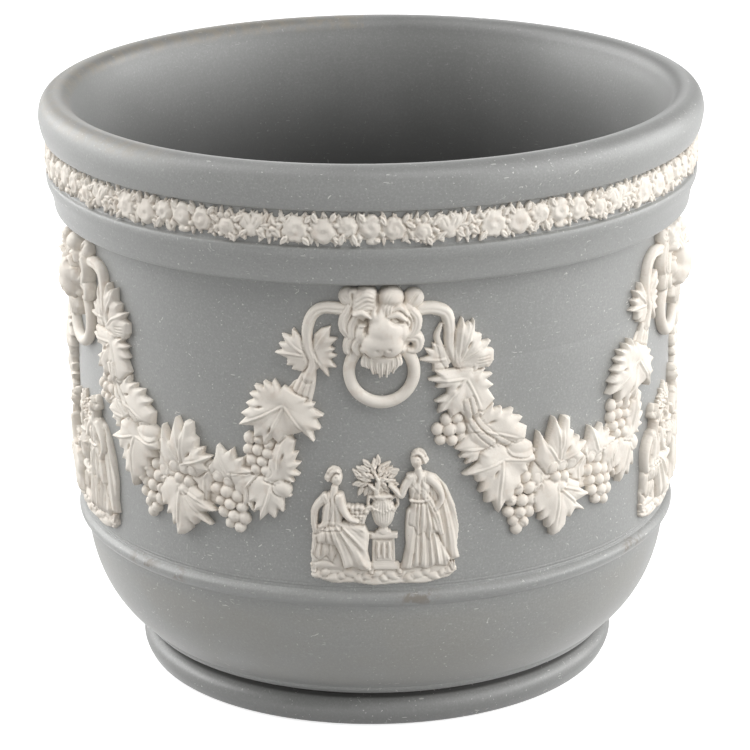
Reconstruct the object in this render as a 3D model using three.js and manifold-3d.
// Jardiniere: a turned stoneware pot with moulded white relief fixed to its wall.
// Millimetres, +Z up, origin at the centre of the foot. The front faces -Y.
import * as THREE from "three";
import { mergeVertices } from "three/addons/utils/BufferGeometryUtils.js";
import Module from "manifold-3d";

const wasm = await Module();
wasm.setup();

// Heights of the pot's zones, from the foot up
const footHeight = 9.6;
const bowlHeight = 36.9;
const beadHeight = 5.1;
const wallHeight = 94.9;
const collarHeight = 12.3;
const bandHeight = 10.4;
const lipHeight = 12.9;

// Radii of the pot and the steps between its zones
const wallRadius = 92.7;
const wallTaper = 0.6;
const collarStep = 5.2;
const collarBulge = 2.2;
const bandRecess = 1.2;
const lipStep = 3.1;
const lipWidth = 10.2;
const beadBulge = 1.9;
const bowlCurve = 23.0;
const bowlFootRadius = 75.2;
const footRadius = 74.9;
const grooveRadius = 69.5;
const filletHeight = 1.6;

// Walls and the hidden side
const wallThickness = 6.2;
const floorThickness = 7.0;
const footRecess = 6.0;
const footRingWidth = 8.0;
const innerCorner = 18.0;

// Fit between the pot and what is stuck to it, and between neighbouring reliefs
const clearance = 0.3;
const bedding = 1.6;

// Lion masks and the rings in their mouths
const maskWidth = 23.4;
const maskHeight = 27.0;
const maskRelief = 8.6;
const maskDrop = 0.6;
const mouthDrop = 0.75;
const ringRadius = 9.2;
const ringTube = 1.75;
const ringRelief = 3.0;
const ringSink = 3.6;
const ringOpening = 76;

// Festoons
const festoonHeight = 84.0;
const stemWidth = 3.4;
const stemRise = 0.9;
const leafRelief = 3.0;
const leafThickness = 1.8;
const leafFullness = 0.8;
const grapeRadius = 1.75;
const grapeRelief = 3.1;

// Figure groups
const groupWidth = 41.0;
const groupHeight = 41.5;
const groupRelief = 2.6;
const groupLift = 2.4;
const plinthHeight = 4.4;

// Flower border
const borderLengths = 11;
const borderRelief = 1.5;
const borderMargin = 0.5;

// Least height at the edge of a modelled relief
const reliefEdge = 0.6;

// Facets
const potSegments = 36;

// The five repeats round the pot, counted anticlockwise from the front as seen from above
const maskPlaces = ["front", "right", "rear_right", "rear_left", "left"];
const festoonPlaces = ["front_right", "right", "rear", "left", "front_left"];

// Sizes that follow
const repeatAngle = (2 * Math.PI) / maskPlaces.length;
const bowlTop = footHeight + bowlHeight;
const wallBottom = bowlTop + beadHeight;
const wallTop = wallBottom + wallHeight;
const bandBottom = wallTop + collarHeight;
const bandTop = bandBottom + bandHeight;
const rimTop = bandTop + lipHeight;
const wallBottomRadius = wallRadius - wallTaper;
const arrisRadius = wallRadius + collarStep;
const collarRadius = arrisRadius + collarBulge;
const bandRadius = collarRadius - bandRecess;
const lipRadius = bandRadius + lipStep;
const mouthRadius = lipRadius - lipWidth;
const repeatWidth = repeatAngle * wallRadius;

const potClay = { color: 0x85898a, roughness: 0.85, metalness: 0 };
const reliefClay = { color: 0xe9e4dc, roughness: 0.75, metalness: 0 };

// Solids from closed geometries and back
function toSolid(geometry) {
  const bare = geometry.clone();
  bare.deleteAttribute("normal");
  bare.deleteAttribute("uv");
  const merged = mergeVertices(bare, 1e-4);
  const index = Array.from(merged.index.array);
  const corners = [];
  for (let i = 0; i < index.length; i += 3) {
    const [a, b, c] = index.slice(i, i + 3);
    if (a !== b && b !== c && c !== a) corners.push(a, b, c);
  }
  return new wasm.Manifold(new wasm.Mesh({
    numProp: 3,
    vertProperties: new Float32Array(merged.attributes.position.array),
    triVerts: new Uint32Array(corners),
  }));
}

function toGeometry(solid) {
  const mesh = solid.getMesh();
  const geometry = new THREE.BufferGeometry();
  geometry.setAttribute("position", new THREE.BufferAttribute(mesh.vertProperties, 3));
  geometry.setIndex(new THREE.BufferAttribute(mesh.triVerts, 1));
  geometry.computeVertexNormals();
  return geometry;
}

const join = (solids) => solids.reduce((whole, solid) => whole.add(solid));

// Points of one curved stretch of a profile, without its first point
function curve(start, control, end, steps) {
  const bend = new THREE.QuadraticBezierCurve(
    new THREE.Vector2(...start), new THREE.Vector2(...control), new THREE.Vector2(...end));
  return bend.getPoints(steps).slice(1).map((point) => [point.x, point.y]);
}

// A profile of [radius, height] points turned about the pot's axis
function turn(profile) {
  const points = profile.map(([radius, height]) => new THREE.Vector2(radius, height));
  return toSolid(new THREE.LatheGeometry(points, potSegments).rotateX(Math.PI / 2));
}

// The pot, foot to lip on the outside and back down on the inside
function potSolid() {
  const foot = [footRadius - 2.3, 0];
  const groove = [grooveRadius, footHeight - 0.6];
  const bowlFoot = [bowlFootRadius, footHeight + filletHeight * 2];
  const bowlEdge = [wallBottomRadius - 0.4, bowlTop];
  const beadTop = [wallBottomRadius + 0.1, wallBottom];
  const arris = [arrisRadius, wallTop + 1.0];
  const collarEdge = [bandRadius, bandBottom];
  const lipBelly = [lipRadius, bandTop + lipHeight * 0.45];
  const crest = [lipRadius - 5.0, rimTop];
  const mouth = [mouthRadius, rimTop - 5.0];
  const innerFoot = [wallBottomRadius - wallThickness, wallBottom];
  const floorLevel = footRecess + floorThickness;
  const floorEdge = [bowlFootRadius - innerCorner, floorLevel];
  return turn([
    [0, footRecess],
    [footRadius - footRingWidth - 2.5, footRecess],
    [footRadius - footRingWidth, 0],
    foot,
    ...curve(foot, [footRadius + 2.6, footHeight * 0.7], groove, 2),
    [grooveRadius, footHeight + 0.3],
    [bowlFootRadius - 0.8, footHeight + filletHeight],
    bowlFoot,
    ...curve(bowlFoot, [wallBottomRadius - 2.0, bowlTop - bowlCurve], bowlEdge, 4),
    ...curve(bowlEdge, [wallBottomRadius + beadBulge * 2, bowlTop + beadHeight * 0.6], beadTop, 2),
    [wallRadius, wallTop],
    [arrisRadius - 1.0, wallTop + 0.2],
    arris,
    [arrisRadius + 0.6, wallTop + collarHeight * 0.4],
    ...curve([collarRadius, bandBottom - 3.4], [collarRadius + 0.6, bandBottom - 0.6], collarEdge, 2),
    [bandRadius, bandTop],
    [lipRadius - 1.5, bandTop + 0.3],
    lipBelly,
    ...curve(lipBelly, [lipRadius - 0.2, rimTop - 0.6], crest, 3),
    ...curve(crest, [mouthRadius + 1.0, rimTop - 0.1], mouth, 2),
    [wallRadius - wallThickness, bandBottom],
    innerFoot,
    ...curve(innerFoot, [innerFoot[0] - 1.5, floorLevel + 2], floorEdge, 3),
    [0, floorLevel],
  ]);
}

// What a relief is trimmed by: everything between two heights inside the given radii, with the
// clearance, and the mouldings above and below it
function seatSolid(low, high, lowRadius, highRadius) {
  const reach = lipRadius * 1.3;
  const deep = high - low;
  return turn([
    [0, low - deep],
    [reach, low - deep],
    [reach, low + clearance],
    [lowRadius + clearance, low + clearance],
    [highRadius + clearance, high - clearance],
    [reach, high - clearance],
    [reach, high + deep],
    [0, high + deep],
  ]);
}

// Reliefs are laid out flat, x along the wall, y up and z out of it, and then bent round the pot
function bendRound(geometry, middle, arcRadius, radiusAt) {
  const position = geometry.attributes.position;
  for (let i = 0; i < position.count; i++) {
    const angle = middle + position.getX(i) / arcRadius;
    const radius = radiusAt(position.getY(i)) + position.getZ(i);
    position.setXYZ(i, radius * Math.sin(angle), -radius * Math.cos(angle), position.getY(i));
  }
  return geometry;
}

const wallAt = (height) =>
  wallBottomRadius + (wallTaper * (height - wallBottom)) / wallHeight;

// Joins flat pieces of clay into one relief on the wall, bent round the pot at an angle
function relief(pieces, middle) {
  return join(pieces.map((piece) => toSolid(bendRound(piece, middle, wallRadius, wallAt))));
}

// A rounded lump: where its middle lies, and its half sizes across, up and out
function lump(x, y, z, across, up, out) {
  const ball = new THREE.SphereGeometry(1, 5, 3).rotateX(Math.PI / 2);
  return ball.scale(across, up, out).translate(x, y, z);
}

// The height of a surface made of overlapping lumps, or null beside them all. Each lump is
// [x, y, base, half width, half height, depth].
function heightOver(lumps, x, y) {
  const heights = lumps.map(([middleX, middleY, base, across, up, deep]) => {
    const inside = 1 - ((x - middleX) / across) ** 2 - ((y - middleY) / up) ** 2;
    return inside > 0 ? base + deep * Math.sqrt(inside) : -1;
  });
  const height = Math.max(...heights);
  return height < 0 ? null : height;
}

// A closed relief drawn over overlapping lumps by spokes and rings about its middle
function moulded(lumps, x, y, reach, spokes, rings) {
  const step = reach / 80;
  const limits = Array.from({ length: spokes }, (_, i) => {
    const angle = (i * 2 * Math.PI) / spokes;
    let length = reach;
    while (heightOver(lumps, x + length * Math.cos(angle), y + length * Math.sin(angle)) === null) {
      length -= step;
    }
    return { angle, length };
  });
  const layers = Array.from({ length: rings }, (_, k) => limits.map(({ angle, length }) => {
    const part = 1 - k / rings;
    const px = x + part * length * Math.cos(angle);
    const py = y + part * length * Math.sin(angle);
    return [px, py, k === 0 ? 0 : heightOver(lumps, px, py) ?? reliefEdge];
  }));
  return skin(layers, [x, y, -bedding], [x, y, heightOver(lumps, x, y)]);
}

// A round rod along a smooth line of [x, y, z] points
function rod(points, radius, steps, sides = 5) {
  const section = new THREE.Shape();
  for (let i = 0; i < sides; i++) {
    const angle = (i * 2 * Math.PI) / sides;
    const corner = [radius * Math.cos(angle), radius * Math.sin(angle)];
    if (i === 0) section.moveTo(...corner);
    else section.lineTo(...corner);
  }
  const line = new THREE.CatmullRomCurve3(points.map((point) => new THREE.Vector3(...point)));
  return new THREE.ExtrudeGeometry(section, { steps, extrudePath: line, bevelEnabled: false });
}

// A closed piece from rings of points, one above the other, with a middle point at each end
function skin(rings, first, last) {
  const count = rings[0].length;
  const points = [first, ...rings.flat(), last];
  const end = points.length - 1;
  const triangles = [];
  for (let i = 0; i < count; i++) {
    const next = (i + 1) % count;
    triangles.push([0, 1 + next, 1 + i]);
    for (let k = 0; k + 1 < rings.length; k++) {
      const low = 1 + k * count;
      const high = low + count;
      triangles.push([low + i, low + next, high + next], [low + i, high + next, high + i]);
    }
    const top = 1 + (rings.length - 1) * count;
    triangles.push([end, top + i, top + next]);
  }
  const geometry = new THREE.BufferGeometry();
  geometry.setAttribute("position", new THREE.Float32BufferAttribute(points.flat(), 3));
  geometry.setIndex(triangles.flat());
  return geometry;
}

// A vine leaf: lobes ending in tips, thick at the edge and raised at the stalk, so that a rib runs
// to each tip and a fold lies between two ribs. Each tip is given in millimetres right of and above
// the leaf's stalk.
function leaf(x, y, tips, rise = leafRelief) {
  const lobes = tips
    .map(([across, up]) => ({ angle: Math.atan2(up, across), length: Math.hypot(across, up) }))
    .sort((a, b) => a.angle - b.angle);
  const outline = lobes.flatMap((lobe, i) => {
    const next = lobes[(i + 1) % lobes.length];
    const gap = (next.angle - lobe.angle + 2 * Math.PI) % (2 * Math.PI);
    const notch = Math.min(lobe.length, next.length) * (gap > 1.9 ? 0.3 : leafFullness);
    return [[lobe.angle, lobe.length], [lobe.angle + gap / 2, notch]];
  });
  const edgeAt = (height) => outline.map(([angle, length]) => [
    x + length * Math.cos(angle), y + length * Math.sin(angle), height]);
  return skin([edgeAt(-bedding), edgeAt(leafThickness)], [x, y, -bedding], [x, y, rise]);
}

// A bunch of grapes: rows of berries packed like a honeycomb, hanging from a point. Each berry is
// a six sided dome that shares its lower corners with its neighbours. Corners between three berries
// lie higher above the wall than those along the outside.
function bunch(x, y, rows) {
  const pitch = grapeRadius * 2;
  const corner = pitch / Math.sqrt(3);
  const middles = rows.flatMap((count, row) => Array.from({ length: count }, (_, i) => [
    x + (i - (count - 1) / 2) * pitch, y - row * corner * 1.5]));
  const rimOf = ([middleX, middleY]) => Array.from({ length: 6 }, (_, k) => {
    const angle = (k + 0.5) * (Math.PI / 3);
    return [middleX + corner * Math.cos(angle), middleY + corner * Math.sin(angle)];
  });
  const near = (a, b) => Math.hypot(a[0] - b[0], a[1] - b[1]) < corner / 10;
  const corners = middles.flatMap(rimOf);
  const sharers = (point) => corners.filter((other) => near(point, other)).length;
  const points = [];
  const triangles = [];
  const add = (across, up, out) => points.push([across, up, out]) - 1;
  const lift = (point) => add(...point, grapeRelief * (sharers(point) === 3 ? 0.55 : 0.35));
  for (const middle of middles) {
    const rim = rimOf(middle);
    const top = add(...middle, grapeRelief);
    const back = add(...middle, -bedding);
    rim.forEach((start, k) => {
      const end = rim[(k + 1) % 6];
      const between = [(start[0] + end[0]) / 2, (start[1] + end[1]) / 2];
      const [a, b] = [lift(start), lift(end)];
      const [c, d] = [add(...start, -bedding), add(...end, -bedding)];
      const outside = !middles.some((other) => other !== middle && near(other,
        [2 * between[0] - middle[0], 2 * between[1] - middle[1]]));
      triangles.push([top, a, b], [back, d, c]);
      if (outside) triangles.push([a, c, d], [a, d, b]);
    });
  }
  const geometry = new THREE.BufferGeometry();
  geometry.setAttribute("position", new THREE.Float32BufferAttribute(points.flat(), 3));
  geometry.setIndex(triangles.flat());
  return geometry;
}

// A lion mask, laid out on its own width, height and relief. The margin makes the larger body
// that cuts its neighbours clear of it.
function maskPiece(margin = 0) {
  const top = wallTop - maskDrop;
  const half = maskWidth / 2;
  const at = (across, down, out, wide, tall, deep) => [
    across * half, top - down * maskHeight, out * maskRelief,
    wide * half + margin, tall * maskHeight + margin, deep * maskRelief + margin];
  const lumps = [
    at(0, 0.46, 0, 0.86, 0.4, 0.42),
    at(0.1, 0.47, 0.3, 0.33, 0.2, 0.58),
    at(0.09, 0.585, 0.45, 0.27, 0.085, 0.55),
    at(0.04, 0.82, 0, 0.38, 0.18, 0.5),
  ];
  for (const side of [-1, 1]) {
    lumps.push(
      at(side * 0.74, 0.13, 0, 0.25, 0.125, 0.36),
      at(side * 0.27, 0.13, 0, 0.27, 0.13, 0.54),
      at(side * 0.42, 0.315, 0.2, 0.28, 0.075, 0.42),
      at(side * 0.82, 0.38, 0, 0.18, 0.14, 0.36),
      at(side * 0.8, 0.6, 0, 0.2, 0.11, 0.38),
      at(side * 0.6, 0.715, 0.15, 0.25, 0.09, 0.42),
      at(side * 0.24 + 0.05, 0.67, 0.4, 0.27, 0.1, 0.46),
    );
  }
  return moulded(lumps, 0, top - maskHeight * 0.48, maskHeight, 20, 5);
}

// The ring that hangs from the lion's mouth: a half round moulding that lies on the wall, open at
// the top where both ends go into the mouth
function ringPiece(margin = 0) {
  const tube = ringTube + margin;
  const mouth = wallTop - maskDrop - mouthDrop * maskHeight;
  const middle = mouth + ringSink - ringRadius;
  const half = THREE.MathUtils.degToRad(180 - ringOpening / 2) + margin / ringRadius;
  const line = Array.from({ length: 13 }, (_, i) => {
    const angle = ((i - 6) / 6) * half;
    return [ringRadius * Math.sin(angle), middle - ringRadius * Math.cos(angle), 0];
  });
  return rod(line, tube, 11, 5).scale(1, 1, (ringRelief + margin) / tube);
}

// A festoon from one mask to the next, drawn at a width and height of its own and scaled to the real
// ones. Places are degrees round the pot from the first mask and distances below the collar as
// drawn. The vine runs behind every leaf and to the top of every bunch.
function festoonPieces() {
  const drawnHeight = 84;
  const drawnWidth = 116.5;
  const scale = festoonHeight / drawnHeight;
  const stretch = repeatWidth / drawnWidth;
  const place = (degrees, drop) => [
    THREE.MathUtils.degToRad(degrees) * wallRadius, wallTop - drop * scale];
  const maskSide = maskWidth / 2 + clearance;
  const start = [maskSide, wallTop - 8.0 * scale];
  const end = [repeatWidth - maskSide, wallTop - 7.7 * scale];
  const stems = [
    [start, place(9.9, 8.2), place(11.8, 12), place(12.2, 18.5), place(15, 28)],
    [place(58.6, 28.5), place(59.8, 20.5), place(60, 12.5), place(62, 8.2), end],
  ];
  const vine = [place(15, 28), place(14.2, 41), place(17, 46), place(22, 57), place(27, 66),
    place(33.6, 62), place(42.8, 64), place(52.4, 58), place(49.2, 50), place(54.5, 38),
    place(58.6, 28.5)];
  const leaves = [
    [12.6, 21.5, [[1.8, 10.6], [5.8, 9], [11, 0], [4, -8], [-5, -6], [-7.2, 1.4]]],
    [15.2, 29.5, [[-10.6, 0.8], [-7.6, -9.6], [0.5, -9.8], [7.5, -8], [7.8, 1], [0, 5]]],
    [17, 44, [[-1.5, 8], [5, 6.2], [12, 3.4], [15.4, -2.5], [5, -8]]],
    [22, 56, [[-13.5, 4.6], [-11, -6.8], [-1.8, -16.2], [8, -8], [6, 5], [-4, 7.4]]],
    [33.6, 60, [[-10, -2], [-7.7, 10.2], [-1, 14.2], [4.4, 13], [10, 1]]],
    [33.5, 66.5, [[-8, -6.5], [-1, -15.5], [4.5, -12], [10.6, -7], [3, 3.5]]],
    [43.4, 60.5, [[-8, -3], [-4.5, 7.4], [3.5, 7.4], [9, 1]]],
    [52.6, 60.5, [[-8, 3], [-7.7, -7.5], [-3.9, -13], [5, -8], [8.2, 2], [6, 12.8]]],
    [54.7, 36, [[-13.7, -8.2], [-9.8, 2], [-3.5, 6.4], [6.5, 1.2], [11.6, -5], [8.6, -11.6],
      [-3.5, -12.8]]],
    [59.5, 20.5, [[-4.5, 7.2], [-9.8, 1.6], [-5, -5], [5, -8], [8, 0], [6, 7.6]]],
  ];
  const bunches = [
    [13, 42, [2, 3]],
    [27, 67, [2, 3, 2, 1]],
    [42.8, 64.5, [3, 2, 1]],
    [49.2, 48.5, [2, 3, 2]],
  ];
  return [
    ...stems.map((route) => rod(route.map(([x, y]) => [x, y, stemRise]), stemWidth / 2, 5, 4)),
    rod(vine.map(([x, y]) => [x, y, 0]), stemWidth * 0.4, 10, 4),
    ...leaves.map(([degrees, drop, tips]) =>
      leaf(...place(degrees, drop), tips.map(([across, up]) => [across * stretch, up * scale]))),
    ...bunches.map(([degrees, drop, rows]) => bunch(...place(degrees, drop), rows)),
  ];
}

// A stack of half round cross sections: each is [x, y, half width, height out of the wall]
function loft(sections) {
  const rings = sections.map(([x, y, half, out]) => [
    [x + half, y, 0],
    [x, y, -bedding],
    [x - half, y, 0],
    [x - half * 0.6, y, out],
    [x + half * 0.6, y, out],
  ]);
  const [x0, y0] = sections[0];
  const [x1, y1] = sections[sections.length - 1];
  return skin(rings, [x0, y0, clearance], [x1, y1, clearance]);
}

// A figure group on a strip of ground: a standing figure in a cloak and a seated one with a basket,
// either side of an urn on a pedestal with a tree behind it. Places are shares of half the group's
// width across and of the height over the ground.
function groupPieces() {
  const ground = wallBottom + groupLift;
  const half = groupWidth / 2;
  const tall = groupHeight - plinthHeight;
  const at = (across, up) => [across * half, ground + plinthHeight + up * tall];
  const body = (...sections) => loft(sections.map(([across, up, wide, deep]) => [
    ...at(across, up), wide * half, deep * groupRelief]));
  const ball = (across, up, wide, high) => lump(
    ...at(across, up), reliefEdge, wide * half, high * tall, groupRelief * 0.8);
  const limb = (...points) => rod(
    points.map(([across, up]) => [...at(across, up), groupRelief * 0.45]), 0.065 * half, 2, 4);
  const strip = [[-1, 0.6], [-0.6, 0], [0, -0.1], [0.6, 0], [1, 0.6], [0.8, 1.1], [-0.8, 1.1]];
  const edgeAt = (height) => strip.map(([across, up]) => [
    across * half, ground + up * plinthHeight, height]);
  const middle = ground + plinthHeight / 2;
  return [
    skin([edgeAt(0), edgeAt(groupRelief * 0.5)], [0, middle, -bedding], [0, middle, groupRelief * 0.7]),
    // the standing figure, with its cloak
    body([0.62, -0.03, 0.38, 0.8], [0.52, 0.5, 0.19, 1], [0.52, 0.76, 0.2, 0.95], [0.49, 0.9, 0.05, 0.7]),
    ball(0.49, 0.92, 0.13, 0.08),
    limb([0.4, 0.78], [0.26, 0.64], [0.12, 0.72]),
    body([0.97, 0.1, 0.09, 0.5], [0.94, 0.5, 0.12, 0.7], [0.6, 0.8, 0.1, 0.7]),
    // the urn on its pedestal and the tree behind it
    body([0, -0.03, 0.2, 0.7], [0, 0.32, 0.16, 0.7], [0, 0.46, 0.17, 1], [0, 0.64, 0.12, 0.8]),
    body([-0.02, 0.62, 0.06, 0.3], [-0.1, 0.76, 0.28, 0.6], [-0.02, 0.92, 0.18, 0.6]),
    // the seated figure, with its basket
    body([-0.55, -0.03, 0.4, 0.7], [-0.6, 0.36, 0.3, 1], [-0.7, 0.5, 0.16, 0.95],
      [-0.67, 0.76, 0.06, 0.7]),
    ball(-0.65, 0.79, 0.13, 0.08),
    ball(-0.38, 0.43, 0.22, 0.1),
  ];
}

// One length of the flower border: blossoms side by side, each a raised middle with petals that
// reach the edges, and a dip between two of them
function borderPiece() {
  const reach = (Math.PI * bandRadius) / borderLengths - clearance;
  const middle = (bandBottom + bandTop) / 2;
  const half = bandHeight / 2 - borderMargin;
  const sizes = [0.9, 1, 0.85, 1, 0.9, 0.95];
  const width = (2 * reach) / sizes.length;
  const column = (across, low, high, height) => [
    [across, middle - low * half, clearance], [across, middle, clearance],
    [across, middle + high * half, clearance], [across, middle, clearance + height * borderRelief]];
  const columns = sizes.flatMap((size, i) => {
    const left = -reach + i * width;
    return [
      column(left + width * 0.08, 0.62, 0.7, 0.35),
      column(left + width * 0.54, size, 0.92 * size, 1),
    ];
  });
  columns.push(column(reach, 0.5, 0.5, 0.3));
  return skin(columns, columns[0][1], columns[columns.length - 1][1]);
}

// The scene graph
const jardiniere = new THREE.Group();
const potMaterial = () => new THREE.MeshStandardMaterial(potClay);
const reliefMaterial = () => new THREE.MeshStandardMaterial(reliefClay);

function addPiece(name, solid, material) {
  const mesh = new THREE.Mesh(toGeometry(solid), material);
  mesh.name = name;
  jardiniere.add(mesh);
}

addPiece("pot_body", potSolid(), potMaterial());

const wallSeat = seatSolid(wallBottom, wallTop, wallBottomRadius, wallRadius);

maskPlaces.forEach((place, i) => {
  const middle = i * repeatAngle;
  const mask = relief([maskPiece()], middle)
    .subtract(relief([ringPiece(clearance)], middle))
    .subtract(wallSeat);
  addPiece(`lion_mask_${place}`, mask, reliefMaterial());
  addPiece(`mask_ring_${place}`, relief([ringPiece()], middle).subtract(wallSeat), reliefMaterial());
  addPiece(`figure_group_${place}`, relief(groupPieces(), middle).subtract(wallSeat), reliefMaterial());
});

festoonPlaces.forEach((place, i) => {
  const middle = i * repeatAngle;
  const neighbours = [middle, middle + repeatAngle].flatMap((angle) => [
    relief([maskPiece(clearance)], angle), relief([ringPiece(clearance)], angle)]);
  const festoon = neighbours.reduce(
    (solid, neighbour) => solid.subtract(neighbour), relief(festoonPieces(), middle));
  addPiece(`vine_festoon_${place}`, festoon.subtract(wallSeat), reliefMaterial());
});

for (let i = 0; i < borderLengths; i++) {
  const middle = ((i + 0.5) * 2 * Math.PI) / borderLengths;
  const border = toSolid(bendRound(borderPiece(), middle, bandRadius, () => bandRadius));
  addPiece(`flower_border_${i + 1}`, border, reliefMaterial());
}

export default jardiniere;
